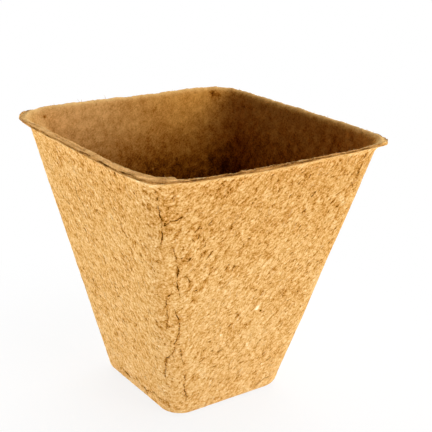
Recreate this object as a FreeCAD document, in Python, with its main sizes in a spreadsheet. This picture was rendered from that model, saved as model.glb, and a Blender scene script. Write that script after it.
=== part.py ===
"""Square moulded-fibre plant pot, 80 mm across its lip.

The real pot is one piece: a thin tapered shell of pressed peat and wood fibre, lifted off a mould.
The walls run from a small square floor to a wide mouth, all corners are round, and the rim turns
outwards into a short flat lip with a cut edge. A hole in the middle of the floor lets water out.

Millimetres, +Z up. The origin is on the standing surface, under the middle of the pot.
"""

import math
import os

import FreeCAD
import Part
import Sketcher

OUT_FOLDER = "parts"

# Driving dimensions: name, value in millimetres, what it is.
DIMENSIONS = [
    ("rim_width", 80.0, "across the lip, outside to outside"),
    ("pot_height", 78.5, "from the standing surface to the top of the lip"),
    ("base_width", 39.5, "across the floor where the walls would meet the standing surface"),
    ("wall_thickness", 1.6, "measured level, through the wall"),
    ("floor_thickness", 1.8, "through the floor"),
    ("lip_overhang", 1.9, "how far the lip stands out from the wall under it"),
    ("lip_thickness", 1.2, "height of the lip's cut edge"),
    ("lip_corner_radius", 11.5, "corner of the lip, seen from above"),
    ("base_corner_radius", 6.5, "corner of the base, seen from above"),
    ("foot_radius", 2.0, "round between the standing face and the walls"),
    ("floor_round_radius", 2.6, "round inside, between the floor and the walls"),
    ("mouth_bend_radius", 2.4, "round where the inner wall turns out over the lip"),
    ("under_lip_radius", 1.2, "round where the outer wall turns out under the lip"),
    ("drain_hole_diameter", 10.0, "hole in the middle of the floor"),
]

# The four walls' outer faces, as expressions on the sheet: their width at the lip's top.
WALL_TOP_WIDTH = "(dims.rim_width - 2 * dims.lip_overhang)"
WALL_TOP_CORNER = "(dims.lip_corner_radius - dims.lip_overhang)"
# The same faces at the height of the floor's upper side, on the straight line from base to top.
FLOOR_SHARE = "(dims.floor_thickness / dims.pot_height)"
WALL_WIDTH_AT_FLOOR = (
    f"(dims.base_width + ({WALL_TOP_WIDTH} - dims.base_width) * {FLOOR_SHARE})"
)
WALL_CORNER_AT_FLOOR = (
    f"(dims.base_corner_radius + ({WALL_TOP_CORNER} - dims.base_corner_radius) * {FLOOR_SHARE})"
)
WALL_CORNER_INSIDE_FLOOR = f"({WALL_CORNER_AT_FLOOR} - dims.wall_thickness)"
# The rounds. None takes more than the wall, lip or corner that it is on has room for.
FOOT_RADIUS = "min(dims.foot_radius; 0.9 * dims.base_corner_radius)"
FLOOR_ROUND_RADIUS = f"min(dims.floor_round_radius; 0.9 * {WALL_CORNER_INSIDE_FLOOR})"
MOUTH_BEND_RADIUS = "min(dims.mouth_bend_radius; 0.8 * (dims.wall_thickness + dims.lip_overhang))"
UNDER_LIP_RADIUS = "min(dims.under_lip_radius; 0.8 * dims.lip_overhang)"

LEVEL_TOLERANCE = 1e-3  # two places closer than this are the same, in millimetres


def make_sheet(doc):
    """The driving dimensions, one row each: name, value and meaning."""
    sheet = doc.addObject("Spreadsheet::Sheet", "dims")
    for row, (alias, value, meaning) in enumerate(DIMENSIONS, start=1):
        sheet.set(f"A{row}", alias)
        sheet.set(f"B{row}", str(value))
        sheet.set(f"C{row}", meaning)
        sheet.setAlias(f"B{row}", alias)
    doc.recompute()
    return sheet


def origin_plane(body, role):
    """The body's own origin plane of that role."""
    return next(item for item in body.Origin.OriginFeatures if item.Role == role)


def level_sketch(body, name, height):
    """An empty level sketch on the body's XY plane, raised to a height given as an expression."""
    sketch = body.newObject("Sketcher::SketchObject", name)
    sketch.AttachmentSupport = [(origin_plane(body, "XY_Plane"), "")]
    sketch.MapMode = "FlatFace"
    sketch.setExpression("AttachmentOffset.Base.z", height)
    return sketch


def rounded_square(body, name, height, width, corner):
    """A level square with round corners, centred on the pot's axis; its sizes are expressions."""
    sketch = level_sketch(body, name, height)
    half, radius = 20.0, 5.0  # where the drawing starts; the constraints set the real size
    reach = half - radius
    vector = FreeCAD.Vector
    normal = vector(0, 0, 1)
    quarter = math.pi / 2
    sides = [
        (vector(-reach, -half, 0), vector(reach, -half, 0)),
        (vector(half, -reach, 0), vector(half, reach, 0)),
        (vector(reach, half, 0), vector(-reach, half, 0)),
        (vector(-half, reach, 0), vector(-half, -reach, 0)),
    ]
    centres = [
        vector(reach, -reach, 0),
        vector(reach, reach, 0),
        vector(-reach, reach, 0),
        vector(-reach, -reach, 0),
    ]
    for turn, (side, centre) in enumerate(zip(sides, centres)):
        sketch.addGeometry(Part.LineSegment(*side), False)
        circle = Part.Circle(centre, normal, radius)
        sketch.addGeometry(
            Part.ArcOfCircle(circle, (turn - 1) * quarter, turn * quarter), False
        )
    lines, arcs = (0, 2, 4, 6), (1, 3, 5, 7)
    start, end, middle = 1, 2, 3
    for line, arc, following in zip(lines, arcs, (2, 4, 6, 0)):
        sketch.addConstraint(Sketcher.Constraint("Tangent", line, end, arc, start))
        sketch.addConstraint(Sketcher.Constraint("Tangent", arc, end, following, start))
    for line, direction in zip(lines, ("Horizontal", "Vertical") * 2):
        sketch.addConstraint(Sketcher.Constraint(direction, line))
    for arc in arcs[1:]:
        sketch.addConstraint(Sketcher.Constraint("Equal", arcs[0], arc))
    sketch.addConstraint(Sketcher.Constraint("Equal", lines[0], lines[1]))
    sketch.addConstraint(
        Sketcher.Constraint("Symmetric", arcs[0], middle, arcs[2], middle, -1, 1)
    )
    width_row = sketch.addConstraint(
        Sketcher.Constraint("DistanceX", lines[3], start, lines[1], start, 2 * half)
    )
    sketch.renameConstraint(width_row, "width")
    corner_row = sketch.addConstraint(Sketcher.Constraint("Radius", arcs[0], radius))
    sketch.renameConstraint(corner_row, "corner")
    sketch.setExpression("Constraints.width", width)
    sketch.setExpression("Constraints.corner", corner)
    return sketch


def loft(body, kind, name, lower, upper):
    """A straight-sided loft between two level sketches, added to the body or cut from it."""
    feature = body.newObject(f"PartDesign::{kind}", name)
    feature.Profile = lower
    feature.Sections = [upper]
    feature.Ruled = True
    body.Document.recompute()
    return feature


def level_edges(feature, height, within):
    """Names of a feature's level edges at a height, inside a square of that half width."""
    names = []
    for number, edge in enumerate(feature.Shape.Edges, start=1):
        box = edge.BoundBox
        level = max(abs(box.ZMin - height), abs(box.ZMax - height)) < LEVEL_TOLERANCE
        reach = max(abs(box.XMin), abs(box.XMax), abs(box.YMin), abs(box.YMax))
        if level and reach < within + LEVEL_TOLERANCE:
            names.append(f"Edge{number}")
    return names


def fillet(body, name, base, edges, radius):
    """Rounds those edges of the feature; the radius is an expression on the sheet."""
    feature = body.newObject("PartDesign::Fillet", name)
    feature.Base = (base, edges)
    feature.setExpression("Radius", radius)
    body.Document.recompute()
    return feature


def make_outer_form(body):
    """The solid tapered block that the walls and floor are hollowed from."""
    base = rounded_square(
        body, "base_outline", "0", "dims.base_width", "dims.base_corner_radius"
    )
    top = rounded_square(
        body, "wall_top_outline", "dims.pot_height", WALL_TOP_WIDTH, WALL_TOP_CORNER
    )
    return loft(body, "AdditiveLoft", "outer_form", base, top)


def make_lip(body):
    """The flat lip, a plate around the top of the walls."""
    outline = rounded_square(
        body,
        "lip_outline",
        "dims.pot_height - dims.lip_thickness",
        "dims.rim_width",
        "dims.lip_corner_radius",
    )
    lip = body.newObject("PartDesign::Pad", "lip")
    lip.Profile = outline
    lip.setExpression("Length", "dims.lip_thickness")
    body.Document.recompute()
    return lip


def cut_hollow(body):
    """The space for soil: it follows the outer faces, one wall thickness inside them."""
    floor = rounded_square(
        body,
        "floor_outline",
        "dims.floor_thickness",
        f"{WALL_WIDTH_AT_FLOOR} - 2 * dims.wall_thickness",
        WALL_CORNER_INSIDE_FLOOR,
    )
    mouth = rounded_square(
        body,
        "mouth_outline",
        "dims.pot_height",
        f"{WALL_TOP_WIDTH} - 2 * dims.wall_thickness",
        f"{WALL_TOP_CORNER} - dims.wall_thickness",
    )
    return loft(body, "SubtractiveLoft", "hollow", floor, mouth)


def round_edges(body, hollow, sheet):
    """The mould's rounds, from the foot up to the lip, each held within the wall it is on."""
    lip_under = sheet.pot_height - sheet.lip_thickness
    wall_top_half = sheet.rim_width / 2 - sheet.lip_overhang
    rounds = [
        ("foot_round", 0.0, sheet.base_width / 2, FOOT_RADIUS),
        ("floor_round", sheet.floor_thickness, sheet.base_width / 2, FLOOR_ROUND_RADIUS),
        ("mouth_bend", sheet.pot_height, wall_top_half, MOUTH_BEND_RADIUS),
        ("under_lip_round", lip_under, wall_top_half, UNDER_LIP_RADIUS),
    ]
    feature = hollow
    for name, height, within, radius in rounds:
        edges = level_edges(feature, height, within)
        feature = fillet(body, name, feature, edges, radius)
    return feature


def cut_drain_hole(body):
    """The round hole through the middle of the floor."""
    outline = level_sketch(body, "drain_hole_outline", "0")
    circle = Part.Circle(FreeCAD.Vector(0, 0, 0), FreeCAD.Vector(0, 0, 1), 5.0)
    outline.addGeometry(circle, False)
    outline.addConstraint(Sketcher.Constraint("Coincident", 0, 3, -1, 1))
    row = outline.addConstraint(Sketcher.Constraint("Diameter", 0, 10.0))
    outline.renameConstraint(row, "across")
    outline.setExpression("Constraints.across", "dims.drain_hole_diameter")
    hole = body.newObject("PartDesign::Pocket", "drain_hole")
    hole.Profile = outline
    hole.Reversed = True  # upwards, from the standing face into the floor
    hole.setExpression("Length", "dims.floor_thickness")
    body.Document.recompute()
    return hole


def make_pot(doc, sheet):
    """The whole pot: one moulded solid."""
    body = doc.addObject("PartDesign::Body", "pot")
    body.Label = "pot"
    make_outer_form(body)
    make_lip(body)
    hollow = cut_hollow(body)
    rounded = round_edges(body, hollow, sheet)
    solid_floor = rounded.Shape.Volume
    hole = cut_drain_hole(body)
    if hole.Shape.Volume >= solid_floor:
        raise RuntimeError("the drain hole cut nothing")
    body.Placement = FreeCAD.Placement()
    return body


def check(doc, bodies):
    """Stops if an object of the document failed, or a sub-part isn't one valid solid."""
    failed = [
        item.Name
        for item in doc.Objects
        if any(word in item.State for word in ("Invalid", "Error"))
    ]
    if failed:
        raise RuntimeError(f"these objects failed: {failed}")
    for body in bodies:
        shape = body.Shape
        if shape.isNull() or not shape.isValid() or len(shape.Solids) != 1:
            raise RuntimeError(f"{body.Label} isn't one valid solid")


def main():
    doc = FreeCAD.newDocument("square_fibre_pot")
    sheet = make_sheet(doc)
    bodies = [make_pot(doc, sheet)]
    doc.recompute()
    check(doc, bodies)
    os.makedirs(OUT_FOLDER, exist_ok=True)
    for body in bodies:
        body.Shape.exportStep(os.path.join(OUT_FOLDER, f"{body.Label}.step"))
        box = body.Shape.optimalBoundingBox(True, False)
        print(
            f"{body.Label}: {box.XLength:.2f} x {box.YLength:.2f} x {box.ZLength:.2f} mm, "
            f"{body.Shape.Volume / 1000:.2f} cm3, {len(body.Shape.Faces)} faces"
        )


main()
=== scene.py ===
"""Looks of a square peat pot: one shell of rough pressed fibre, seen from above its front corner.

The pot is one closed sheet of quads. Its columns run around the pot and its rows follow the section
of the wall: under the floor, up the outside, over the lip, down the inside and through the drain
hole. The pulp's relief, the cracks and the frayed lip are moved vertices. Colour and the finest
grain are nodes, led by what the mesh says about each vertex.

Lengths are millimetres until a mesh, lamp or camera is made, which is in metres.
"""

import math

import bpy
import numpy as np
from mathutils import Matrix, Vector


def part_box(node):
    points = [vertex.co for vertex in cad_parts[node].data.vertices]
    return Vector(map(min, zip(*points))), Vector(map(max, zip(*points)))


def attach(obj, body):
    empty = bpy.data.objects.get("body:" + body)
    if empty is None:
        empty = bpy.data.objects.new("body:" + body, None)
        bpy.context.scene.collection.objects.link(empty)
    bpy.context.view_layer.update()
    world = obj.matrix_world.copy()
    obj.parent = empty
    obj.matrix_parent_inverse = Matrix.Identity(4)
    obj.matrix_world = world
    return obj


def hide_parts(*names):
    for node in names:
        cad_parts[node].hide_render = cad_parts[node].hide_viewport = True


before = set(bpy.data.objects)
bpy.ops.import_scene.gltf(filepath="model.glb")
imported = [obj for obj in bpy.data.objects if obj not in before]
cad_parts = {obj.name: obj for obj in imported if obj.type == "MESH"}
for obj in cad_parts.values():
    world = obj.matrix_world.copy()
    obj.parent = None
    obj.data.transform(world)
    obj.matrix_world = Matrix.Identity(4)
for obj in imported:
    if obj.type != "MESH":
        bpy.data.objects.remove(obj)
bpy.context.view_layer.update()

MM = 0.001

# ---- sizes of the pot's section

_, pot_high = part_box("pot")
RIM_HALF = pot_high.x / MM
HEIGHT = pot_high.z / MM
BASE_HALF = 19.75
WALL = 1.6
FLOOR = 1.8
LIP_OVERHANG = 1.9
LIP_THICKNESS = 1.2
LIP_CORNER = 11.5
BASE_CORNER = 6.5
FOOT_ROUND = 3.2
FLOOR_ROUND = 2.6
MOUTH_BEND = 2.4
UNDER_LIP_ROUND = 1.8
CUT_EDGE_ROUND = 0.25
CUT_EDGE_LEAN = 0.3
LIP_RISE = 2.5
MOUTH_DROP = 0.85
MOUTH_EASE = 0.2
HOLE_RADIUS = 5.0
HOLE_EDGE_ROUND = 0.3

WALL_TOP_HALF = RIM_HALF - LIP_OVERHANG
WALL_TOP_CORNER = LIP_CORNER - LIP_OVERHANG
LEAN = (WALL_TOP_HALF - BASE_HALF) / HEIGHT
CORNER_GROWTH = (WALL_TOP_CORNER - BASE_CORNER) / HEIGHT

# ---- the photograph's view

PHOTO_SIDE = 432
FOCAL_PIXELS = 950.0
SENSOR_WIDTH = 36.0
CAMERA_AZIMUTH = -36.19
CAMERA_ELEVATION = 19.9
CAMERA_ROLL = 2.13
CAMERA_DISTANCE = 278.9
CLIP_START = 0.01
# How squarely a spot must face the camera for a mark to be placed on it.
SEEN_LIMIT = 0.12
LOOK_AT = np.array([6.76, -0.34, 50.27])

# ---- marks, in the photo's pixels

# Cracks where the felt split as the pot dried: the points they pass, width and depth in millimetres.
FRONT_CRACKS = [
    # beside the front corner, from its upper end down
    ([(154.5, 190), (157.6, 197), (157.5, 206), (159.5, 213)], 0.10, 0.16),
    ([(158.5, 208), (160.4, 216), (161.5, 223), (162.4, 230), (161.4, 236), (160.7, 246)], 0.16, 0.32),
    ([(162.5, 228), (165.5, 225.5), (167.5, 222.8), (171.5, 221), (177, 220.5), (183.4, 217.5)],
     0.19, 0.34),
    ([(173.5, 249), (175.0, 256), (177.6, 267), (177.9, 276), (177.4, 288), (179.8, 297)], 0.16, 0.30),
    ([(172, 291), (167, 299), (165.4, 306), (167.9, 319), (167, 330)], 0.13, 0.26),
    ([(174.5, 309), (178.7, 321), (179.5, 329), (177, 337), (175, 345), (173, 354), (173.5, 361)],
     0.17, 0.45),
    ([(172, 355), (166, 358), (164.8, 364), (164.7, 374), (166, 380)], 0.16, 0.42),
    ([(180.5, 349), (182, 360), (184.4, 365)], 0.12, 0.24),
    # at the foot
    ([(185.8, 373), (185.1, 381), (184.4, 391), (187, 396), (185.8, 402)], 0.17, 0.42),
    ([(118.8, 366.7), (125, 371.6), (129.3, 376.5), (134, 379.6)], 0.20, 0.40),
    ([(135, 375), (140.5, 385), (149.6, 392.3), (154, 392.6), (157.4, 397.5), (162.3, 400),
      (171.4, 402.5)], 0.21, 0.50),
    ([(254, 386), (259, 382), (264, 379), (270, 376)], 0.16, 0.30),
    # on the left wall and under its lip
    ([(75.3, 186.1), (77.6, 195.3), (85.2, 209.1)], 0.14, 0.12),
    ([(113.6, 172), (116, 175.5), (118.4, 179.4)], 0.16, 0.34),
]
# Short nicks in the pulp: their width and depth, and the two ends of each (x, y, x, y).
NICK_WIDTH = 0.14
NICK_DEPTH = 0.24
FRONT_NICKS = [
    (211, 351.5, 213, 350), (217.5, 352, 223, 350), (264.8, 361.8, 271, 356.5),
    (212, 368, 216.5, 365), (235, 319, 238, 313), (257, 344, 262, 338), (351.5, 182, 354, 193),
    (362.4, 164, 357, 175), (327, 244, 335, 237.5), (306, 202, 317, 191), (224, 272, 229.5, 263),
    (186.5, 262, 192, 256), (236, 266, 232, 272), (295, 295, 298, 291), (198, 240, 200, 233),
    (196, 233, 200, 226), (201, 250, 207, 243), (206, 260, 213, 251), (192, 238, 194, 242),
    (187, 275, 192, 284), (199, 262, 203, 255), (209, 225, 213, 219), (193, 292, 201, 289),
    (301, 225, 296, 232), (92, 279, 97, 284), (139, 238, 141.5, 244), (66, 199, 69.5, 204),
    (92, 291, 97, 299),
]

# A rough patch beside the front corner, and flecks: where, radius in millimetres, paler or darker.
ROUGH_PATCH = (194, 262)
ROUGH_PATCH_REACH = 9.0
OUTSIDE_FLECKS = [
    ((257.3, 308.0), 0.70, 1.0), ((260.5, 310.8), 0.36, -0.7), ((220.9, 335.2), 0.28, 0.8),
    ((87.2, 205.6), 0.25, 0.8), ((189.2, 259.8), 0.30, -0.5), ((340.8, 160.8), 0.30, -0.4),
]
INSIDE_FLECKS = [
    ((44.6, 116.7), 0.45, -0.6), ((213, 92.5), 0.90, -0.5), ((218.5, 95), 0.70, -0.45),
    ((265.8, 107), 0.35, -0.4), ((153.2, 169.1), 0.30, 0.8), ((96, 104), 0.30, -0.4),
]

# ---- the sheet of quads

COLUMNS = 1200
WALL_FIBRES = 1000
WALL_FIBRE_LENGTH = (0.8, 2.6)
WALL_FIBRE_RADIUS = (0.030, 0.055)
LIP_FIBRES = 380
LIP_FIBRE_RADIUS = (0.035, 0.055)
FIBRE_STEPS = 7
FIBRE_SIDES = 5
# Pits: how many, how far they reach in rows and columns, their lean in degrees (mean and spread),
# and the ranges of half length, half width and depth.
PIT_COUNT = 3600
PIT_WINDOW = 6
PIT_LEAN = (48.0, 24.0)
PIT_HALF_LENGTH = (0.30, 1.10)
PIT_HALF_WIDTH = (0.09, 0.17)
PIT_DEPTH = (0.02, 0.16)
# In widths of a split: where nothing of it is left, and what stands for no split at all.
SPLIT_REACH = 4.5
FAR_FROM_SPLIT = 9.0
CORNER_SHARE = 0.22
ARC_STEP = 0.24
FACES = 4

# How much the wavelengths in one relief vary, as a power of e.
WAVE_SPREAD = 0.3
CRACK_SEED = 60
PIT_SEED = 71
BACK_SEED = 83
NICK_SEED = 90
WALL_FIBRE_SEED = 97
LIP_FIBRE_SEED = 101

# The section, as corners that are then rounded: name, half width, height, radius of the round, and
# the step between rows on the run that follows. The lip flares up to its cut edge.
LIP_UNDER_HEIGHT = HEIGHT - LIP_RISE
MOUTH_HEIGHT = HEIGHT - MOUTH_DROP
SECTION = [
    ("hole_under", HOLE_RADIUS, 0.0, HOLE_EDGE_ROUND, 0.42),
    ("foot", BASE_HALF, 0.0, FOOT_ROUND, 0.26),
    ("lip_under", BASE_HALF + LEAN * LIP_UNDER_HEIGHT, LIP_UNDER_HEIGHT, UNDER_LIP_ROUND, 0.20),
    ("edge_low", RIM_HALF, HEIGHT - LIP_THICKNESS, CUT_EDGE_ROUND, 0.10),
    ("edge_high", RIM_HALF - CUT_EDGE_LEAN, HEIGHT, CUT_EDGE_ROUND, 0.22),
    ("mouth", WALL_TOP_HALF - WALL + MOUTH_EASE, MOUTH_HEIGHT, MOUTH_BEND, 0.34),
    ("floor", BASE_HALF + LEAN * FLOOR - WALL, FLOOR, FLOOR_ROUND, 0.42),
    ("hole_top", HOLE_RADIUS, FLOOR, HOLE_EDGE_ROUND, 0.30),
]

# How this pot's lip strays from a level one. Places are counted in quarters of the way round, from
# the front corner towards the right one: place, lift of the lip's top, lift of its underside.
LIP_STRAYS = [
    (0.0, -0.05, -0.2), (0.06, 0.25, 0.42), (0.12, -0.12, 0.04), (0.18, -0.24, 0.15),
    (0.27, -0.28, -0.08), (0.33, -0.18, -0.08), (0.39, 0.05, -0.18), (0.51, -0.03, -0.02),
    (0.57, -0.12, -0.05), (0.63, -0.16, 0.12), (0.73, -0.14, 0.17), (0.84, -0.15, 0.3),
    (0.91, 0.4, 0.68), (1.0, 0.45, 0.4), (1.08, 0.62, 0.0),
    (1.25, 0.52, 0.0), (1.4, 0.34, -0.2), (1.55, 0.52, 0.0), (1.72, 0.28, -0.2),
    (1.86, 0.2, 0.0), (1.94, 0.22, 0.0), (2.02, 0.58, 0.0), (2.15, 0.98, 0.0),
    (2.35, 0.78, 0.0), (2.6, 0.74, 0.0), (2.86, 0.85, 0.1), (2.96, 0.48, 0.2),
    (3.05, -0.18, 0.25), (3.15, -0.15, -0.2), (3.3, -0.33, -0.28), (3.42, -0.4, -0.34),
    (3.55, -0.36, -0.46), (3.66, -0.38, -0.56), (3.72, -0.36, -0.48), (3.78, -0.22, -0.48),
    (3.86, 0.18, -0.22), (3.92, 0.3, 0.2), (3.97, 0.1, -0.3),
]
LIP_SMOOTHING = 30
# How far the lip's outer edge rolls down from its crest: place and droop.
EDGE_DROOPS = [(0.93, 0.0), (1.05, 0.70), (1.90, 0.70), (2.10, 0.70), (2.93, 0.70), (3.06, 0.0)]
# How much lower than elsewhere the lip's inner bend lies: place and drop.
MOUTH_DROPS = [(0.02, 0.2), (0.12, 0.6), (0.25, 0.8), (0.75, 0.8), (1.0, 0.3), (1.2, -0.35),
               (1.8, -0.35), (2.2, -0.3), (2.8, -0.3), (3.0, 0.0), (3.2, 1.0), (3.8, 1.1),
               (3.92, 0.6)]
# The lip's corners stand out further than round ones would: corner and how far.
LIP_POINTS = {1: 0.45, 2: 0.20, 3: 0.60}
# The walls' corners, at the foot and at the lip: corner, outward shift low down and high up.
CORNER_STRAYS = {0: (-0.10, 0.00), 1: (-0.25, 0.45), 2: (-0.20, 0.10), 3: (-0.75, 0.05)}
# A pale upper ply lies on the lip from one place to another; it ends in a torn step.
PLY_START = 3.14
PLY_END = 4.055
PLY_THICKNESS = 0.38
PLY_BEVEL = 0.6
PLY_STEP = 0.003
# Where the plies of the cut edge gape: place, half length in quarters and depth.
PLY_GAPES = [(3.61, 0.026, 0.9), (3.72, 0.012, 0.4), (3.87, 0.050, 0.95), (0.30, 0.06, 0.4),
             (0.62, 0.08, 0.5), (0.10, 0.05, 0.6), (1.60, 0.10, 0.6), (2.40, 0.12, 0.6)]
# The lines between the plies: where across the cut edge, and how marked.
PLY_LINES = [(0.14, 0.5), (0.40, 1.0), (0.66, 0.2)]
PLY_LINE_WIDTH = 0.10


def unit(vector):
    """The vector or rows of vectors, one long."""
    return vector / np.linalg.norm(vector, axis=-1, keepdims=True)


def ramp(value, start, end):
    """A smooth step from 0 at start to 1 at end."""
    share = np.clip((value - start) / (end - start), 0.0, 1.0)
    return share * share * (3.0 - 2.0 * share)


def bell(value, width):
    """A smooth hump: 1 at 0, and near 0 from two widths on."""
    return np.exp(-((value / width) ** 2))


def section_corner(index):
    """A corner of the section, its directions back and ahead, and half the angle between them."""
    before, corner, after = (
        np.array(SECTION[(index + step) % len(SECTION)][1:3]) for step in (-1, 0, 1)
    )
    back, ahead = unit(before - corner), unit(after - corner)
    return corner, back, ahead, math.acos(back @ ahead) / 2


def rounded_section():
    """The section's rows: places (half width, height) and lengths; each corner's length and rows."""
    places, names = [], []
    for index, (name, _, _, radius, step) in enumerate(SECTION):
        corner, back, ahead, half_angle = section_corner(index)
        reach = radius / math.tan(half_angle)
        centre = corner + unit(back + ahead) * radius / math.sin(half_angle)
        start = corner + back * reach - centre
        turn = math.pi - 2 * half_angle
        if start[0] * ahead[1] - start[1] * ahead[0] < 0:
            turn = -turn
        steps = max(2, round(abs(turn) * radius / ARC_STEP))
        for share in np.linspace(0.0, 1.0, steps + 1):
            angle = turn * share
            cosine, sine = math.cos(angle), math.sin(angle)
            spoke = np.array([cosine * start[0] - sine * start[1], sine * start[0] + cosine * start[1]])
            places.append(centre + spoke)
            names.append(name if share in (0.0, 1.0) else "")
        following, _, _, next_half = section_corner(index + 1)
        next_radius = SECTION[(index + 1) % len(SECTION)][3]
        run_end = following - ahead * next_radius / math.tan(next_half)
        run_start = places[-1]
        steps = max(1, round(np.linalg.norm(run_end - run_start) / step))
        for share in np.arange(1, steps) / steps:
            places.append(run_start + share * (run_end - run_start))
            names.append("")
    places = np.array(places)
    lengths = np.concatenate([[0.0], np.cumsum(np.linalg.norm(np.diff(places, axis=0), axis=1))])
    ends = {name: [row for row, mark in enumerate(names) if mark == name] for name, *_ in SECTION}
    at = {name: float(np.mean(lengths[rows])) for name, rows in ends.items()}
    return places, lengths, at, ends


def ring_columns():
    """Each column's quarter turn, place along the straight of its wall, and turn round its corner."""
    place = (np.arange(COLUMNS) + 0.5) / COLUMNS * FACES
    quarter = np.floor(place)
    off_middle = place - quarter - 0.5
    straight = 0.5 - CORNER_SHARE / 2
    along = np.clip(off_middle / straight, -1.0, 1.0)
    turn = np.sign(off_middle) * np.clip(np.abs(off_middle) - straight, 0.0, None)
    return place, quarter * math.pi / 2, along, turn / (CORNER_SHARE / 2) * math.pi / 4


class Sheet:
    """The pot's smooth shape as a grid of rows and columns, and what is known of each vertex."""

    def __init__(self):
        self.section, self.length, self.at, ends = rounded_section()
        self.place, heading, along, turn = ring_columns()
        half, height = self.section[:, 0], self.section[:, 1]
        floor_start, foot_start = ends["floor"][-1], ends["foot"][0]
        rows = np.arange(len(half))
        on_floor = (rows > floor_start) | (rows < foot_start)
        flat_half = np.where(rows > floor_start, half[floor_start], half[foot_start])
        ring_half = np.where(on_floor, flat_half, half)
        ring_height = np.where(on_floor, np.where(rows > floor_start, FLOOR, 0.0), height)
        corner = BASE_CORNER + CORNER_GROWTH * ring_height + ring_half - (BASE_HALF + LEAN * ring_height)
        straight = (ring_half - corner)[:, None]
        corner = corner[:, None]
        sideways = straight * along + corner * np.sin(turn)
        outwards = straight + corner * np.cos(turn)
        x = sideways * np.cos(heading) + outwards * np.sin(heading)
        y = sideways * np.sin(heading) - outwards * np.cos(heading)
        flat = np.stack([x, y], axis=-1)
        to_hole = np.where(
            on_floor, np.clip((flat_half - half) / (flat_half - HOLE_RADIUS), 0.0, 1.0), 0.0
        )[:, None, None]
        round_half = np.minimum(half, HOLE_RADIUS)[:, None, None]
        round_half = np.where(to_hole < 1.0, HOLE_RADIUS, round_half)
        flat = flat * (1.0 - to_hole) + unit(flat) * round_half * to_hole
        level = np.broadcast_to(height[:, None, None], flat.shape[:2] + (1,))
        self.smooth = np.concatenate([flat, level], axis=-1)
        self.normal = self.normals(self.smooth)
        facing = heading + turn
        self.outward = np.stack([np.sin(facing), -np.cos(facing), np.zeros(COLUMNS)], axis=-1)
        self.rows, self.columns = self.smooth.shape[:2]

    @staticmethod
    def normals(places):
        """The sheet's unit normals, away from the fibre, by central differences."""
        around = np.roll(places, -1, axis=1) - np.roll(places, 1, axis=1)
        onwards = np.roll(places, -1, axis=0) - np.roll(places, 1, axis=0)
        return unit(np.cross(around, onwards))

    def swell(self, rise, full, ebb, gone):
        """For each row, a rise from 0 to 1 and a fall back, by lengths of the section."""
        return ramp(self.length, rise, full) * (1.0 - ramp(self.length, ebb, gone))

    def between(self, first, last, blur):
        """For each row, how far it lies on the stretch between two lengths of the section."""
        return self.swell(first - blur, first + blur, last - blur, last + blur)


def waves(points, wavelength, seed, stretch=None, times=1.0, count=36):
    """Smooth random relief, about 1 high, as a sum of plane waves; longer along stretch by times."""
    draw = np.random.default_rng(seed)
    vectors = unit(draw.normal(size=(count, 3)))
    vectors *= (2 * math.pi / (wavelength * np.exp(draw.normal(0.0, WAVE_SPREAD, count))))[:, None]
    if stretch is not None:
        axis = unit(np.array(stretch, float))
        vectors -= np.outer(vectors @ axis, axis) * (1.0 - 1.0 / times)
    phases = draw.uniform(0.0, 2 * math.pi, count)
    flat = points.reshape(-1, 3).astype(np.float32)
    total = np.zeros(len(flat), np.float32)
    for vector, phase in zip(vectors.astype(np.float32), phases.astype(np.float32)):
        total += np.cos(flat @ vector + phase)
    return (total * math.sqrt(2.0 / count)).reshape(points.shape[:-1])


# ---- camera and pixels


def facing(azimuth, elevation):
    """For one who faces the pot from a direction in degrees: their level right and their back."""
    turn, rise = math.radians(azimuth), math.radians(elevation)
    back = np.array([
        math.sin(turn) * math.cos(rise), -math.cos(turn) * math.cos(rise), math.sin(rise)
    ])
    return np.array([math.cos(turn), math.sin(turn), 0.0]), back


def camera_axes():
    """The camera's right, up and back directions."""
    level, back = facing(CAMERA_AZIMUTH, CAMERA_ELEVATION)
    roll = math.radians(CAMERA_ROLL)
    upright = np.cross(back, level)
    right = math.cos(roll) * level + math.sin(roll) * upright
    up = math.cos(roll) * upright - math.sin(roll) * level
    return right, up, back


RIGHT, UP, BACK = camera_axes()
CAMERA_PLACE = LOOK_AT + CAMERA_DISTANCE * BACK


def to_pixels(points):
    """Where the camera sees the points, in the photo's pixels."""
    away = points - CAMERA_PLACE
    depth = -(away @ BACK)
    across = PHOTO_SIDE / 2 + FOCAL_PIXELS * (away @ RIGHT) / depth
    down = PHOTO_SIDE / 2 - FOCAL_PIXELS * (away @ UP) / depth
    return np.stack([across, down], axis=-1)


def link(name, data):
    """A new object in the scene."""
    item = bpy.data.objects.new(name, data)
    bpy.context.scene.collection.objects.link(item)
    return item


def placed(right, up, back, place):
    """The matrix that turns a camera or a lamp to its axes and puts it at a place in metres."""
    matrix = np.eye(4)
    matrix[:3] = np.stack([right, up, back, place], axis=-1)
    return Matrix(matrix.tolist())


def add_camera():
    """The photograph's view."""
    data = bpy.data.cameras.new("camera")
    data.sensor_width = SENSOR_WIDTH
    data.lens = FOCAL_PIXELS * SENSOR_WIDTH / PHOTO_SIDE
    data.clip_start = CLIP_START
    camera = link("camera", data)
    camera.matrix_world = placed(RIGHT, UP, BACK, CAMERA_PLACE * MM)
    bpy.context.scene.camera = camera


# ---- relief


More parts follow.
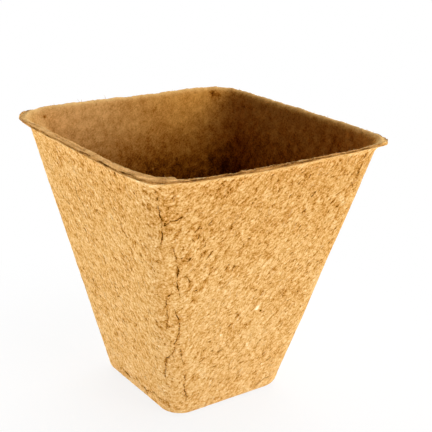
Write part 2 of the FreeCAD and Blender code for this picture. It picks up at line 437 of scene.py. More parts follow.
class Relief:
    """Builds up the pot's relief on the sheet, and the marks that colour it."""

    def __init__(self, sheet):
        self.sheet = sheet
        shape = sheet.smooth.shape[:2]
        self.down = HEIGHT - sheet.smooth[..., 2]
        self.height, self.crack, self.split_depth, self.fleck = np.zeros((4, *shape))
        self.split = np.full(shape, FAR_FROM_SPLIT)
        self.shift = np.zeros((*shape, 3))
        at = sheet.at
        length = sheet.length
        # The cut edge lies between low and high.
        low, high = at["edge_low"], at["edge_high"]
        self.under = 1.0 - ramp(length, at["foot"] - 1.5, at["foot"] + 0.8)
        self.outer = sheet.between(at["foot"], low - 0.4, 0.4)
        self.cut = sheet.between(low, high, 0.15)
        front = ramp(-sheet.outward[:, 0] - sheet.outward[:, 1], -0.1, 0.5)
        to_edge = sheet.between(low, high - 0.3, 0.2)[:, None]
        over_edge = sheet.between(low, high + 0.45, 0.2)[:, None]
        tips = np.clip(1.6 * (self.near_corner(1) + self.near_corner(3)), 0.0, 1.0)
        self.rough_cut = 1.0 - 0.95 * tips
        self.torn = (to_edge + (over_edge - to_edge) * front) * self.rough_cut
        self.inner = ramp(length, high - 0.1, high + 0.5)
        self.across_cut = np.clip((length - low) / (high - low), 0.0, 1.0)
        self.calm = sheet.between(at["lip_under"] - 0.4, low - 0.1, 0.5)
        self.lip = sheet.swell(
            at["lip_under"] - 1.2, at["lip_under"] + 1.0, at["mouth"] - 1.0, at["mouth"] + 4.0
        )
        self.faces_y = ramp(sheet.outward[:, 1] ** 2, 0.25, 0.75)
        place = sheet.place
        self.ply = ramp((place - PLY_START + 0.5) % FACES, 0.42, 0.58)
        step = PLY_END - 3.0
        self.ply *= 1.0 - ramp((place + 1.0) % FACES, step - PLY_STEP, step + PLY_STEP)
        self.bend()
        self.pixels = to_pixels(sheet.smooth + self.shift)
        self.seen = sheet.normal @ BACK > SEEN_LIMIT

    def away(self, place):
        """How far round the pot each column lies from a place, in quarters."""
        return np.abs((self.sheet.place - place + FACES / 2) % FACES - FACES / 2)

    def near_corner(self, corner):
        """For each column, 1 at a corner's middle, falling to 0 where its round ends."""
        return np.cos(np.clip(self.away(corner) / (CORNER_SHARE / 2), 0.0, 1.0) * math.pi / 2) ** 2

    def round_lip(self, points, which=1):
        """A value for each column, from a list of places round the lip and values there."""
        points = np.array(points)
        return np.interp(self.sheet.place, points[:, 0], points[:, which], period=FACES)

    def bend(self):
        """How the whole shell strays from its mould: its corners, its lip and its warped walls."""
        sheet = self.sheet
        places = sheet.smooth
        level = np.clip(places[..., 2] / HEIGHT, 0.0, 1.0)
        out = waves(places, 48.0, 3, count=20) * 0.10 * ramp(places[..., 2], 3.0, 30.0)
        for corner, (low, high) in CORNER_STRAYS.items():
            strays = low + (high - low) * level
            out += strays * self.near_corner(corner) * ramp(level, 0.0, 0.06)
        for corner, reach in LIP_POINTS.items():
            out += reach * self.lip[:, None] * self.near_corner(corner)
        self.shift += out[..., None] * sheet.outward
        strays = np.stack([self.round_lip(LIP_STRAYS, which) for which in (1, 2)])
        for _ in range(LIP_SMOOTHING):
            strays = (np.roll(strays, 1, axis=1) + 2 * strays + np.roll(strays, -1, axis=1)) / 4
        top, low = strays
        top += PLY_THICKNESS * self.ply
        share = np.where(sheet.length < sheet.at["edge_low"], 0.0, self.across_cut)[:, None]
        lift = low * (1.0 - share) + top * share
        self.shift[..., 2] += lift * self.lip[:, None]
        at = sheet.at
        edge = sheet.swell(at["lip_under"], at["edge_low"], at["edge_high"], at["edge_high"] + 1.7)
        self.shift[..., 2] -= self.round_lip(EDGE_DROOPS) * edge[:, None]
        bend = sheet.swell(at["edge_high"] + 0.1, at["mouth"], at["mouth"], at["mouth"] + 6.0)
        self.shift[..., 2] -= self.round_lip(MOUTH_DROPS) * bend[:, None]
        bevel = PLY_BEVEL * self.ply * ramp(self.across_cut, 0.4, 1.0)[:, None] * self.lip[:, None]
        self.shift -= bevel[..., None] * sheet.outward

    def add_split(self, where, aside, depth):
        """Draws a line through some vertices, from their signed distances to it in line widths."""
        gap = np.abs(aside)
        closer = (gap < np.abs(self.split[where])) & (gap < SPLIT_REACH)
        self.split[where] = np.where(closer, aside, self.split[where])
        faded = depth * (1.0 - ramp(gap, 3.0, SPLIT_REACH))
        self.split_depth[where] = np.where(closer, faded, self.split_depth[where])

    def both_ways(self, wavelength, seed, times):
        """Relief that leans 45 degrees up, away from the front corner, on all four walls."""
        on_y = waves(self.sheet.smooth, wavelength, seed, (1, 0, 1), times)
        on_x = waves(self.sheet.smooth, wavelength, seed + 1, (0, 1, 1), times)
        share = self.faces_y
        return (on_y * share + on_x * (1 - share)) / np.sqrt(share**2 + (1 - share) ** 2)

    def pulp(self):
        """Lumps and hollows of the pressed pulp, coarser outside than in; the hollows' darkness is
        partly painted shade.
        """
        places = self.sheet.smooth
        patch = 1.0 + 0.3 * waves(places, 13.0, 8, count=24)
        rough = np.linalg.norm(places - self.on_pot(ROUGH_PATCH), axis=-1)
        patch += 0.45 * bell(rough, ROUGH_PATCH_REACH)
        coarse = self.both_ways(3.4, 11, 1.9)
        lumps = self.both_ways(1.6, 13, 2.2)
        crumbs = self.both_ways(0.85, 17, 1.1)
        crease = bell(self.both_ways(3.4, 21, 1.8), 0.10)
        crease *= ramp(waves(places, 6.0, 23, count=24), 0.2, 1.2)
        sharp = np.exp(0.75 * np.clip(lumps, -3, 2.6)) - 1.3
        outside = 0.013 * coarse - 0.013 * sharp * patch - 0.008 * crumbs - 0.06 * crease
        inside = 0.022 * waves(places, 4.5, 31) + 0.014 * waves(places, 1.7, 33)
        inside += 0.010 * waves(places, 1.1, 35, (0, 0, 1), 3.0)
        # The hollows and creases darken the colour, partly as their own browner tone and partly as
        # painted shade, more on the walls that face along x.
        marked = 1.0 + 0.25 * (1.0 - self.faces_y)
        self.hollow = 0.35 + marked * (0.11 * sharp * patch + 0.13 * crumbs) - 0.04 * coarse
        self.hollow += 0.5 * crease
        # Painted highlight: just under the lip the hollows' shade is lifted, most on the walls that face
        # along x.
        paler = 0.35 + 0.45 * (1.0 - self.faces_y)
        self.hollow = np.clip(self.hollow - paler * self.calm[:, None], -0.6, 1.0)
        self.height += outside * (self.outer * (1.0 - 0.7 * self.calm) + 0.7 * self.under)[:, None]
        self.height += inside * self.inner[:, None]

    def pits(self):
        """Short pits and splits that the drying left between the fibres of the outside."""
        sheet = self.sheet
        across, inward, upright = np.eye(3)
        draw = np.random.default_rng(PIT_SEED)
        rows = np.flatnonzero(self.outer > 0.9)
        reach = np.arange(-PIT_WINDOW, PIT_WINDOW + 1)
        for _ in range(PIT_COUNT):
            row = draw.choice(rows)
            column = draw.integers(sheet.columns)
            lean = math.radians(draw.normal(*PIT_LEAN))
            half_length = draw.uniform(*PIT_HALF_LENGTH)
            half_width = draw.uniform(*PIT_HALF_WIDTH)
            depth = draw.uniform(*PIT_DEPTH)
            level = across if self.faces_y[column] > 0.5 else inward
            streak = math.cos(lean) * level + math.sin(lean) * upright
            aside = math.cos(lean) * upright - math.sin(lean) * level
            window = np.ix_(np.clip(row + reach, 0, sheet.rows - 1), (column + reach) % sheet.columns)
            offset = sheet.smooth[window] - sheet.smooth[row, column]
            bow = (offset @ streak) ** 2 * draw.normal(0.0, 0.25)
            fade = bell(offset @ streak, half_length)
            gap = (offset @ aside + bow) / half_width
            self.height[window] -= 0.6 * depth * fade * bell(gap, 1.5)
            self.add_split(window, gap, fade * depth * 3.4)

    def cut_edge(self):
        """The lip's torn edge: crumbs along it, slits between its plies, and a frayed top."""
        places = self.sheet.smooth
        crumbs = waves(places, 0.9, 41) * 0.05 + waves(places, 2.2, 43) * 0.06
        self.height += crumbs * self.cut[:, None] * self.rough_cut
        flat = places * [1, 1, 0]
        level = flat[self.sheet.rows // 2]
        torn = np.broadcast_to((self.cut > 0.3)[:, None], self.height.shape)
        for seed, (across, marked) in enumerate(PLY_LINES):
            gape = np.clip(0.45 * waves(level, 5.0, 47 + 2 * seed) + 0.15, 0.05, 0.6) * marked
            gape *= self.rough_cut
            if marked == 1.0:
                for place, half, depth in PLY_GAPES:
                    gape = np.maximum(gape, depth * np.exp(-((self.away(place) / half) ** 4)))
            wander = waves(level, 6.0, 48 + 2 * seed) * 0.035
            aside = (self.across_cut[:, None] - across - wander) * LIP_THICKNESS
            self.height -= 0.12 * gape * bell(aside, 0.14) * torn
            wide = PLY_LINE_WIDTH * (0.5 + 0.8 * gape)
            spread = np.broadcast_to(gape, aside.shape)
            self.add_split(torn, (aside / wide)[torn], spread[torn])
        fray = waves(flat, 0.8, 51) * 0.05 + waves(flat, 2.4, 53) * 0.06
        at = self.sheet.at
        top = self.sheet.between(at["edge_high"] - 0.45, at["edge_high"] + 0.45, 0.25)
        self.shift[..., 2] += fray * top[:, None]
        knobs = waves(flat, 1.8, 55) * 0.045 + waves(flat, 5.0, 57) * 0.05
        crest = self.sheet.between(at["edge_high"] - 0.45, at["mouth"] + 0.5, 0.8)
        self.shift[..., 2] += knobs * crest[:, None]

    def groove(self, line, width, depth, seed):
        """Cuts a crack along a line of points on the pot, ragged and fading at its ends."""
        places = self.sheet.smooth
        margin = 6 * width
        near = np.all((places > line.min(0) - margin) & (places < line.max(0) + margin), axis=-1)
        near &= (self.outer + self.under > 0.3)[:, None]
        spots = places[near]
        if not len(spots):
            return
        pieces = line[1:] - line[:-1]
        lengths = np.linalg.norm(pieces, axis=1)
        starts = np.concatenate([[0.0], np.cumsum(lengths)[:-1]])
        spots = spots + 0.13 * np.stack(
            [waves(spots, 2.2, seed + step, count=10) for step in (0, 200, 400)], axis=-1
        )
        side = np.ones(len(spots))
        upright = self.sheet.normal[near]
        best = np.full(len(spots), 1e9)
        run = np.zeros(len(spots))
        for start, piece, length, before in zip(line[:-1], pieces, lengths, starts):
            share = np.clip((spots - start) @ piece / length**2, 0.0, 1.0)
            gap = np.linalg.norm(spots - start - share[:, None] * piece, axis=1)
            closer = gap < best
            best[closer] = gap[closer]
            run[closer] = (before + share * length)[closer]
            turned = np.sum(np.cross(piece, spots - start) * upright, axis=1)
            side[closer] = np.where(turned[closer] < 0, -1.0, 1.0)
        whole = lengths.sum()
        fade = np.clip(np.minimum(run, whole - run) / (0.15 * whole) + 0.3, 0.0, 1.0)
        broken = np.clip(0.95 + 0.35 * waves(spots, 1.9, seed + 600, count=10), 0.35, 1.0)
        profile = bell(best, max(width * 1.3, 0.22)) * fade * broken
        self.height[near] -= 0.4 * depth * profile
        wide = width * (0.50 + 0.5 * fade * broken)
        self.add_split(near, side * best / wide, np.minimum(1.0, 1.2 * fade * broken))
        # A painted shadow round the crack, darkening the colour beside it.
        halo = 0.22 * fade * broken * bell(best, 0.5)
        self.crack[near] = np.maximum(self.crack[near], halo)

    def on_pot(self, pixel, inside=False):
        """The point of the pot's wall that the camera sees at a pixel."""
        gap = np.linalg.norm(self.pixels - pixel, axis=-1)
        gap[~self.seen] = np.inf
        gap[(self.inner if inside else self.outer) < 0.3] = np.inf
        gap[self.sheet.smooth[..., 2] < (20.0 if inside else 0.0)] = np.inf
        return self.sheet.smooth[np.unravel_index(np.argmin(gap), gap.shape)]

    def flecks(self):
        """Single paler or darker flecks that the photograph shows."""
        for marks, inside in ((OUTSIDE_FLECKS, False), (INSIDE_FLECKS, True)):
            for pixel, radius, tone in marks:
                gap = np.linalg.norm(self.sheet.smooth - self.on_pot(pixel, inside), axis=-1)
                self.fleck += tone * bell(gap, radius)

    def front_marks(self):
        """The cracks and nicks that the photograph shows."""
        nicks = [(np.reshape(ends, (2, 2)), NICK_WIDTH, NICK_DEPTH) for ends in FRONT_NICKS]
        for first_seed, marks in ((CRACK_SEED, FRONT_CRACKS), (NICK_SEED, nicks)):
            for seed, (pixels, width, depth) in enumerate(marks, first_seed):
                line = np.array([self.on_pot(pixel) for pixel in pixels])
                self.groove(line, width, depth, seed)

    def back_marks(self):
        """Cracks of the same kind at the three corners that the photograph doesn't show whole."""
        sheet = self.sheet
        draw = np.random.default_rng(BACK_SEED)
        rows = np.flatnonzero(self.outer > 0.9)
        heights = sheet.smooth[rows, 0, 2]
        for corner in (1, 2, 3):
            for low, high in ((4, 22), (16, 34), (38, 52), (55, 68)):
                levels = np.linspace(low + draw.uniform(-3, 3), high + draw.uniform(-3, 3), 6)
                drift = corner + draw.normal(0.0, 0.025) + np.cumsum(draw.normal(0.0, 0.006, 6))
                columns = (drift % FACES / FACES * sheet.columns).astype(int)
                line = sheet.smooth[rows[np.searchsorted(heights, levels)], columns]
                self.groove(line, draw.uniform(0.12, 0.18), draw.uniform(0.2, 0.45), corner * 10 + low)

    def ply_mark(self):
        """Where the pale upper ply shows: the cut's upper half and a strip of the lip's top."""
        ragged = waves(self.sheet.smooth * [1, 1, 0], 3.0, 57) * 0.03
        upper = ramp(self.across_cut[:, None] + ragged, 0.36, 0.52)
        mouth = self.sheet.at["mouth"]
        strip = 1.0 - ramp(self.sheet.length[:, None] + 4 * ragged, mouth - 0.6, mouth + 1.6)
        return upper * strip * self.ply

    def shade(self):
        """How deep in the shade of the pot's inside a vertex lies: more to the right and low down."""
        across = self.sheet.smooth[..., 0]
        right = ramp(across + 0.3 * self.down, -20.0, 25.0) * ramp(self.down, 0.0, 2.2)
        deep = ramp(self.down, 0.0, 55.0)
        return np.clip(right * 0.8 + deep * 0.6, 0.0, 1.0) * self.inner[:, None]

    def near_lip(self):
        """How near the lip a vertex lies, for the inside's painted shade; on the right wall it falls off
        a little sooner.
        """
        right = ramp(self.sheet.smooth[..., 0], 20.0, 34.0)
        broad = 1.0 - ramp(self.down, 2.0, 32.0)
        narrow = 1.0 - ramp(self.down, 0.5, 7.0)
        return broad * (1.0 - 0.2 * right) + narrow * 0.2 * right

    def finished(self):
        """The sheet's vertices with their relief, never below the ground."""
        places = self.sheet.smooth + self.shift + self.sheet.normal * self.height[..., None]
        places[..., 2] = np.maximum(places[..., 2], 0.0)
        return places


def new_mesh(name, places, faces, marks):
    """A smooth mesh from places in millimetres, and the numbers that it says about each vertex."""
    mesh = bpy.data.meshes.new(name)
    mesh.from_pydata((places.reshape(-1, 3) * MM).tolist(), [], faces)
    mesh.shade_smooth()
    for mark, values in marks.items():
        values = np.broadcast_to(values, places.shape[:-1]).astype(np.float32)
        mesh.attributes.new(mark, "FLOAT", "POINT").data.foreach_set("value", values.ravel())
    return mesh


def make_pot_mesh(sheet, relief):
    """The pot's mesh from the finished grid."""
    index = np.arange(sheet.rows * sheet.columns).reshape(sheet.rows, sheet.columns)
    right = np.roll(index, -1, axis=1)
    quads = np.stack([index, right, np.roll(right, -1, axis=0), np.roll(index, -1, axis=0)], axis=-1)
    mouth = sheet.at["mouth"]
    marks = {
        "crack": relief.crack,
        "split": relief.split,
        "split_depth": relief.split_depth,
        "lip_top": (relief.inner * (1.0 - ramp(sheet.length, mouth - 1.2, mouth + 0.8)))[:, None],
        "hollow": relief.hollow,
        "inside": relief.inner[:, None],
        "cut_edge": relief.torn,
        "ply": relief.ply_mark(),
        "fleck": relief.fleck,
        "high_up": sheet.smooth[..., 2] / HEIGHT,
        "near_lip": relief.near_lip(),
        "shade": relief.shade(),
        "faces_y": relief.faces_y,
    }
    return new_mesh("moulded_pot", relief.finished(), quads.reshape(-1, 4).tolist(), marks)


# ---- materials


def linear(red, green, blue):
    """A colour's linear values from its 0 to 255 display values."""
    values = []
    for value in (red / 255, green / 255, blue / 255):
        values.append(value / 12.92 if value <= 0.04045 else ((value + 0.055) / 1.055) ** 2.4)
    return (*values, 1.0)


class Nodes:
    """A short way to write the nodes of a material or the world."""

    def __init__(self, owner):
        owner.use_nodes = True
        self.tree = owner.node_tree
        self.tree.nodes.clear()

    def add(self, kind, settings=None, numbered=(), **inputs):
        """Adds a node: settings are its properties, the rest its inputs as values or links."""
        node = self.tree.nodes.new(kind)
        for key, value in (settings or {}).items():
            setattr(node, key, value)
        for number, value in enumerate(numbered):
            self.put(node, number, value)
        for key, value in inputs.items():
            self.put(node, key.replace("_", " "), value)
        return node

    def put(self, node, key, value):
        """Sets or links one input, by its name or number."""
        socket = node.inputs[key]
        if isinstance(value, bpy.types.NodeSocket):
            self.tree.links.new(value, socket)
        else:
            socket.default_value = value

    def math(self, operation, first, second=0.0):
        """The output of one calculation."""
        return self.add("ShaderNodeMath", {"operation": operation}, (first, second)).outputs[0]

    def total(self, *terms):
        """The sum of several terms: values, or what spread takes."""
        values = [self.spread(*term) if isinstance(term, tuple) else term for term in terms]
        whole = values[0]
        for value in values[1:]:
            whole = self.math("ADD", whole, value)
        return whole

    def tones(self, value, stops):
        """A colour from a scale of tones."""
        node = self.add("ShaderNodeValToRGB", Fac=value)
        ramp_stops = node.color_ramp.elements
        while len(ramp_stops) < len(stops):
            ramp_stops.new(1.0)
        for stop, (position, tone) in zip(ramp_stops, stops):
            stop.position = position
            stop.color = linear(*tone)
        return node.outputs["Color"]

    def mark(self, name):
        """A number that the mesh says about each vertex."""
        return self.add("ShaderNodeAttribute", {"attribute_name": name}).outputs["Fac"]

    def mix(self, factor, first, second, blend="MIX", kind="RGBA"):
        """Two colours mixed, or two numbers if the kind is FLOAT."""
        node = self.add("ShaderNodeMix", {"data_type": kind, "blend_type": blend}, Factor=factor)
        socket, output = (6, 2) if kind == "RGBA" else (2, 0)
        self.put(node, socket, first)
        self.put(node, socket + 1, second)
        return node.outputs[output]

    def spread(self, value, low, high, to_low=0.0, to_high=1.0):
        """A value's range moved onto another."""
        numbered = (value, low, high, to_low, to_high)
        return self.add("ShaderNodeMapRange", None, numbered).outputs[0]

    def place(self, turn=(0, 0, 0), scale=(1, 1, 1)):
        """The surface point in millimetres, turned and scaled."""
        coordinates = self.add("ShaderNodeTexCoord").outputs["Object"]
        turned = self.add("ShaderNodeMapping", Vector=coordinates, Rotation=turn).outputs[0]
        scale = tuple(value / MM for value in scale)
        return self.add("ShaderNodeVectorMath", {"operation": "MULTIPLY"}, (turned, scale)).outputs[0]

    def noise(self, place, wavelength, detail=2.0, rough=0.5):
        """Noise with that wavelength in millimetres."""
        return self.add(
            "ShaderNodeTexNoise", Vector=place, Scale=1.0 / wavelength, Detail=detail, Roughness=rough
        ).outputs[0]

    def seen(self):
        """1 where the camera sees a thing, by itself, in a gloss or through glass, and else 0."""
        rays = self.add("ShaderNodeLightPath").outputs
        seen = self.math("MAXIMUM", rays["Is Camera Ray"], rays["Is Glossy Ray"])
        return self.math("MAXIMUM", seen, rays["Is Transmission Ray"])

    def finish(self, kind, shader):
        """Links the shader to an output of that kind."""
        self.tree.links.new(shader.outputs[0], self.add(kind).inputs["Surface"])


# Colours from crest to crack, on a scale of darkness, as 0 to 255 display values.
OUTSIDE_TONES = [
    (0.00, (255, 248, 216)), (0.22, (250, 222, 168)), (0.45, (233, 191, 124)),
    (0.62, (214, 159, 84)), (0.76, (185, 126, 50)), (0.88, (134, 79, 16)), (1.00, (62, 30, 3)),
]
INSIDE_TONES = [
    (0.00, (252, 212, 144)), (0.30, (233, 185, 116)), (0.50, (210, 158, 90)),
    (0.70, (176, 115, 44)), (0.86, (122, 69, 13)), (1.00, (66, 30, 2)),
]
SHADE_TINT = (1.0, 0.86, 0.44, 1.0)
PLY_TONES = [(0.00, (248, 204, 137)), (0.45, (217, 165, 98)), (1.00, (122, 76, 28))]
CUT_TONES = [(0.00, (228, 178, 110)), (0.50, (188, 134, 70)), (1.00, (84, 46, 12))]
# The torn parts: their mark, how dark layers (from, to), grain and cracks make them, their tones.
TORN_LOOKS = [("cut_edge", 0.0, 0.70, 0.35, 0.9, CUT_TONES), ("ply", -0.15, 0.50, 0.30, 0.45, PLY_TONES)]
# The strands of the pulp: their lean and how much longer than wide they are.
STRAND_LEAN = math.radians(45)
STRAND_STRETCH = 1.6


def fibre_material():
    """Pressed peat and wood fibre: felted strands, paler crests and browner hollows, the hollows' brown
    partly painted shade.
    """
    material = bpy.data.materials.new("moulded_fibre")
    nodes = Nodes(material)
    on_y = nodes.place((0, STRAND_LEAN, 0), (1 / STRAND_STRETCH, 1, 1))
    on_x = nodes.place((-STRAND_LEAN, 0, 0), (1, 1 / STRAND_STRETCH, 1))
    plain = nodes.place()
    level = nodes.place(scale=(0.10, 0.10, 1.0))
    faces_y, inside, fleck, hollow, near_lip, high_up, shade = map(
        nodes.mark, ("faces_y", "inside", "fleck", "hollow", "near_lip", "high_up", "shade")
    )

    def leaning(wavelength, rough):
        """Noise that leans like the strands of the wall it lies on."""
        first = nodes.noise(on_x, wavelength, 1.0, rough)
        second = nodes.noise(on_y, wavelength, 1.0, rough)
        return nodes.mix(faces_y, first, second, kind="FLOAT")

    fibres = leaning(0.58, 0.6)
    flakes = leaning(1.5, 0.5)
    grain = nodes.noise(plain, 0.40, 1.0)
    patches = nodes.noise(plain, 8.0, 2.0)
    specks = nodes.noise(plain, 0.75, 1.0)
    mottle = nodes.noise(plain, 2.6, 3.0, 0.6)
    layers = nodes.noise(level, 0.42, 2.0)
    # Painted shade inside the cracks, nicks, pits and slits, with the painted shadow round the cracks;
    # the splits also dent the bump.
    split = nodes.math("ABSOLUTE", nodes.mark("split"))
    split = nodes.math("MULTIPLY", nodes.spread(split, 0.3, 1.3, 1.0, 0.0), nodes.mark("split_depth"))
    crack = nodes.math("MAXIMUM", nodes.mark("crack"), split)

    darkness = nodes.total(
        # Painted light: paler low down, and darker near the top of the walls that face along y.
        (high_up, 0.0, 1.0, -0.05, 0.03),
        nodes.math("MULTIPLY", nodes.spread(high_up, 0.55, 1.0, 0.0, 0.06), faces_y),
        (fibres, 0.25, 0.75, 0.39, 0.05),
        (grain, 0.25, 0.75, 0.24, -0.05),
        (flakes, 0.30, 0.75, 0.0, 0.14),
        (patches, 0.30, 0.70, 0.06, 0.0),
        # Darkness of the hollows and creases: partly their own tone, partly painted shade.
        nodes.math("MULTIPLY", hollow, 0.295),
        (crack, 0.0, 1.0, 0.0, 0.58),
        (fleck, -1.0, 1.0, 0.8, -0.8),
        (specks, 0.68, 0.78, 0.0, 0.16),
    )
    colour = nodes.tones(darkness, OUTSIDE_TONES)

    inner_darkness = nodes.total(
        0.155,
        (mottle, 0.30, 0.70, 0.28, 0.03),
        (fleck, -1.0, 1.0, 0.7, -0.7),
        (fibres, 0.25, 0.75, 0.18, 0.0),
        (grain, 0.25, 0.75, 0.16, -0.04),
        (patches, 0.30, 0.70, 0.10, 0.0),
        (crack, 0.0, 1.0, 0.0, 0.60),
        # Painted shade: darker away from the lip, and on the walls that face along x.
        (near_lip, 0.0, 1.0, 0.33, -0.08),
        (faces_y, 0.0, 1.0, 0.04, -0.02),
        (shade, 0.1, 0.5, 0.0, 0.045),
        (nodes.mark("lip_top"), 0.0, 1.0, 0.0, -0.30),
        (specks, 0.66, 0.78, 0.0, 0.10),
    )
    inner = nodes.tones(inner_darkness, INSIDE_TONES)
    inner = nodes.mix(shade, inner, SHADE_TINT, "MULTIPLY")
    colour = nodes.mix(inside, colour, inner)
    for mark, layer_low, layer_high, grain_high, crack_high, stops in TORN_LOOKS:
        torn = nodes.total(
            (layers, 0.30, 0.70, layer_low, layer_high),
            (grain, 0.25, 0.75, 0.0, grain_high),
            (crack, 0.0, 1.0, 0.0, crack_high),
        )
        colour = nodes.mix(nodes.mark(mark), colour, nodes.tones(torn, stops))

    height = nodes.total(
        nodes.math("MULTIPLY", fibres, 0.11),
        nodes.math("MULTIPLY", grain, 0.11),
        nodes.math("MULTIPLY", split, -0.10),
    )
    bump = nodes.add("ShaderNodeBump", Height=height, Distance=MM)
    shader = nodes.add(
        "ShaderNodeBsdfPrincipled", Base_Color=colour, Normal=bump.outputs[0],
        Roughness=nodes.spread(fibres, 0.3, 0.7, 0.86, 0.98),
        Specular_IOR_Level=0.0, Diffuse_Roughness=0.6,
    )
    nodes.finish("ShaderNodeOutputMaterial", shader)
    return material


# The floor: its half width, how far it lies below the pot (both in metres) and how white it is.
FLOOR_REACH = 3.0
FLOOR_GAP = 0.00005
FLOOR_WHITE = (0.96, 0.96, 0.96, 1.0)
# How it turns plain white for the camera: two distances in metres, and the shares of white there.
FLOOR_FADE = (0.03, 0.11, 0.85, 1.0)
SURROUND_LIGHT = 0.02


def floor_material():
    """A white floor. The camera sees it as nearly plain white, and quite so far from the pot."""
    material = bpy.data.materials.new("white_floor")
    nodes = Nodes(material)
    matt = nodes.add("ShaderNodeBsdfDiffuse", Color=FLOOR_WHITE)
    white = nodes.add("ShaderNodeEmission", Color=(1.0, 1.0, 1.0, 1.0), Strength=1.0)
    place = nodes.add("ShaderNodeTexCoord").outputs["Object"]
    far = nodes.add("ShaderNodeVectorMath", {"operation": "LENGTH"}, (place,))
    whiter = nodes.spread(far.outputs["Value"], *FLOOR_FADE)
    share = nodes.math("MULTIPLY", nodes.seen(), whiter)
    mixed = nodes.add("ShaderNodeMixShader", None, (share, matt.outputs[0], white.outputs[0]))
    nodes.finish("ShaderNodeOutputMaterial", mixed)
    return material


# ---- loose fibres


def tube_piece(name, paths, normals, radius, tone):
    """One piece of thin tubes that taper at both ends, along paths of several points each."""
    count, steps = paths.shape[:2]
    tangent = unit(np.gradient(paths, axis=1))
    aside = unit(np.cross(tangent, normals))
    upward = np.cross(aside, tangent)
    taper = np.sin(np.linspace(0.12, math.pi - 0.12, steps)) ** 0.5
    turn = np.arange(FIBRE_SIDES) / FIBRE_SIDES * 2 * math.pi
    ring = np.cos(turn)[:, None] * aside[:, :, None] + np.sin(turn)[:, None] * upward[:, :, None]
    places = paths[:, :, None] + ring * (radius[:, None] * taper)[..., None, None]
    index = np.arange(count * steps * FIBRE_SIDES).reshape(count, steps, FIBRE_SIDES)
    right = np.roll(index, -1, axis=2)
    sides = np.stack([index[:, :-1], right[:, :-1], right[:, 1:], index[:, 1:]], axis=-1)
    faces = sides.reshape(-1, 4).tolist()
    faces += index[:, 0, ::-1].tolist() + index[:, -1].tolist()
    mesh = new_mesh(name, places, faces, {"fleck": tone[:, None, None]})
    mesh.materials.append(bpy.data.materials["moulded_fibre"])
    piece = link(name, mesh)
    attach(piece, "root")


def sample(grid, rows, columns):
    """Values of a grid between its rows and columns; the columns go round."""
    row, column = np.floor(rows).astype(int), np.floor(columns).astype(int)
    down, along = (rows - row)[..., None], (columns - column)[..., None]
    row, column = np.clip(row, 0, len(grid) - 2), column % grid.shape[1]
    after = (column + 1) % grid.shape[1]
    upper = grid[row, column] * (1 - along) + grid[row, after] * along
    lower = grid[row + 1, column] * (1 - along) + grid[row + 1, after] * along
    return upper * (1 - down) + lower * down


def add_wall_fibres(sheet, places, normals, outer):
    """Single fibres that lie on the outside, their ends a little proud of it."""
    draw = np.random.default_rng(WALL_FIBRE_SEED)
    count = WALL_FIBRES
    share = np.linspace(-0.5, 0.5, FIBRE_STEPS)
    rows = draw.choice(np.flatnonzero(outer > 0.95), count).astype(float)
    columns = draw.uniform(0, sheet.columns, count)
    length = draw.uniform(*WALL_FIBRE_LENGTH, count)
    heading = draw.normal(math.radians(45), math.radians(32), count)
    heading *= np.where(np.floor(columns / sheet.columns * FACES) % FACES < 2, 1, -1)
    curve = draw.normal(0.0, 0.5, count)
    start = sample(places, rows, columns)
    row_step = np.linalg.norm(sample(places, rows + 1, columns) - start, axis=-1)
    column_step = np.linalg.norm(sample(sheet.smooth, rows, columns + 4)
                                 - sample(sheet.smooth, rows, columns), axis=-1) / 4
    run = length[:, None] * share
    bow = curve[:, None] * run**2 * 0.5
    across = np.cos(heading)[:, None] * run - np.sin(heading)[:, None] * bow
    along = np.sin(heading)[:, None] * run + np.cos(heading)[:, None] * bow
    path_rows = rows[:, None] + along / np.maximum(row_step, 0.15)[:, None]
    path_columns = columns[:, None] + across / column_step[:, None]
    normal = sample(normals, path_rows, path_columns)
    radius = draw.uniform(*WALL_FIBRE_RADIUS, count)
    proud = 0.01 + draw.uniform(0.0, 0.12, count)[:, None] * np.abs(share * 2) ** 3
    paths = sample(places, path_rows, path_columns) + normal * proud[..., None]
    tone = draw.normal(-0.02, 0.10, count)
    tube_piece("wall_fibres", paths, normal, radius, tone)


def add_lip_fibres(sheet, places, rough):
    """Frayed fibre ends along the lip's torn edge."""
    draw = np.random.default_rng(LIP_FIBRE_SEED)
    count = LIP_FIBRES
    edge = int(np.argmin(np.abs(sheet.length - sheet.at["edge_high"])))
    rows = edge + draw.integers(-4, 3, count)
    columns = draw.choice(np.flatnonzero(rough > 0.5), count)
    start = places[rows, columns]
    out = sheet.outward[columns]
    level = np.stack([-out[:, 1], out[:, 0], np.zeros(count)], axis=-1)
    heading = unit(
        out * draw.normal(0.45, 0.4, (count, 1)) + level * draw.normal(0, 0.8, (count, 1))
        + np.array([0, 0, 1.0]) * draw.normal(0.55, 0.35, (count, 1))
    )
    bend = draw.normal(0.0, 0.35, (count, 3))
    length = 0.22 + draw.exponential(0.22, count)
    run = (length[:, None] * np.linspace(-0.1, 1.0, FIBRE_STEPS))[..., None]
    paths = start[:, None] + heading[:, None] * run + bend[:, None] * run**2 * 0.5
    normal = np.broadcast_to(out[:, None] + [0, 0, 0.1], paths.shape)
    radius = draw.uniform(*LIP_FIBRE_RADIUS, count)
    tube_piece("lip_fibres", paths, normal, radius, draw.normal(-0.25, 0.15, count))


# ---- stage and lamps


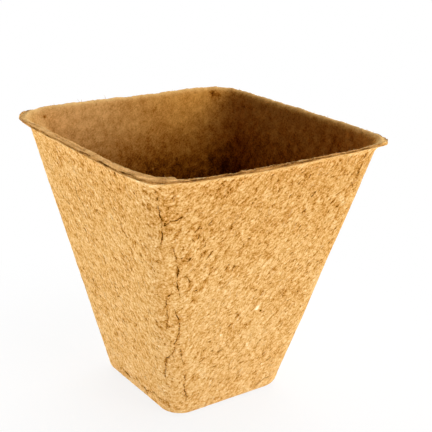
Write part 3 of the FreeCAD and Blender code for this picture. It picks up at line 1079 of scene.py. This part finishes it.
# Softboxes: azimuth and elevation in degrees, distance, width and height in metres, power in watts,
# and the height in metres that they face.
LAMPS = {
    "key": (19, 12, 0.7, 0.40, 0.22, 3.08, 0.04),
    "left_strip": (-92, 0, 0.45, 0.6, 0.07, 1.57, 0.038),
    "right_strip": (96, 0, 0.45, 0.6, 0.07, 1.25, 0.038),
    "back": (144, 48, 0.8, 0.9, 0.25, 5.0, 0.06),
    "back_left": (-150, 25, 0.8, 0.5, 0.3, 0.8, 0.06),
    "top": (30, 62, 0.8, 0.5, 0.5, 1.8, 0.04),
}


def add_floor():
    """The pale floor that the pot stands on."""
    mesh = bpy.data.meshes.new("floor")
    corners = ((-1, -1), (1, -1), (1, 1), (-1, 1))
    mesh.from_pydata([(x * FLOOR_REACH, y * FLOOR_REACH, 0) for x, y in corners], [], [(0, 1, 2, 3)])
    mesh.materials.append(floor_material())
    floor = link("floor", mesh)
    floor.location.z = -FLOOR_GAP


def add_lamp(name, azimuth, elevation, distance, width, height, power, aim):
    """A softbox that faces the pot from a direction."""
    data = bpy.data.lights.new(name, "AREA")
    data.shape = "RECTANGLE"
    data.size = width
    data.size_y = height
    data.energy = power
    right, back = facing(azimuth, elevation)
    place = np.array([0.0, 0.0, aim]) + distance * back
    link(name, data).matrix_world = placed(right, np.cross(back, right), back, place)


def add_world():
    """A pale surround, dim as a light."""
    world = bpy.data.worlds.new("surround")
    nodes = Nodes(world)
    strength = nodes.spread(nodes.seen(), 0.0, 1.0, SURROUND_LIGHT, 1.0)
    nodes.finish("ShaderNodeOutputWorld", nodes.add("ShaderNodeBackground", Strength=strength))
    bpy.context.scene.world = world


# ---- the scene


def add_pot():
    """The moulded pot in place of its smooth solid."""
    sheet = Sheet()
    relief = Relief(sheet)
    relief.pulp()
    relief.pits()
    relief.cut_edge()
    relief.front_marks()
    relief.flecks()
    relief.back_marks()
    mesh = make_pot_mesh(sheet, relief)
    mesh.materials.append(fibre_material())
    pot = link("moulded_pot", mesh)
    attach(pot, "root")
    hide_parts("pot")
    places = relief.finished()
    add_wall_fibres(sheet, places, sheet.normals(places), relief.outer)
    add_lip_fibres(sheet, places, relief.rough_cut)


add_camera()
add_pot()
add_floor()
add_world()
for lamp_name, lamp_settings in LAMPS.items():
    add_lamp(lamp_name, *lamp_settings)
bpy.context.scene.view_settings.view_transform = "Standard"
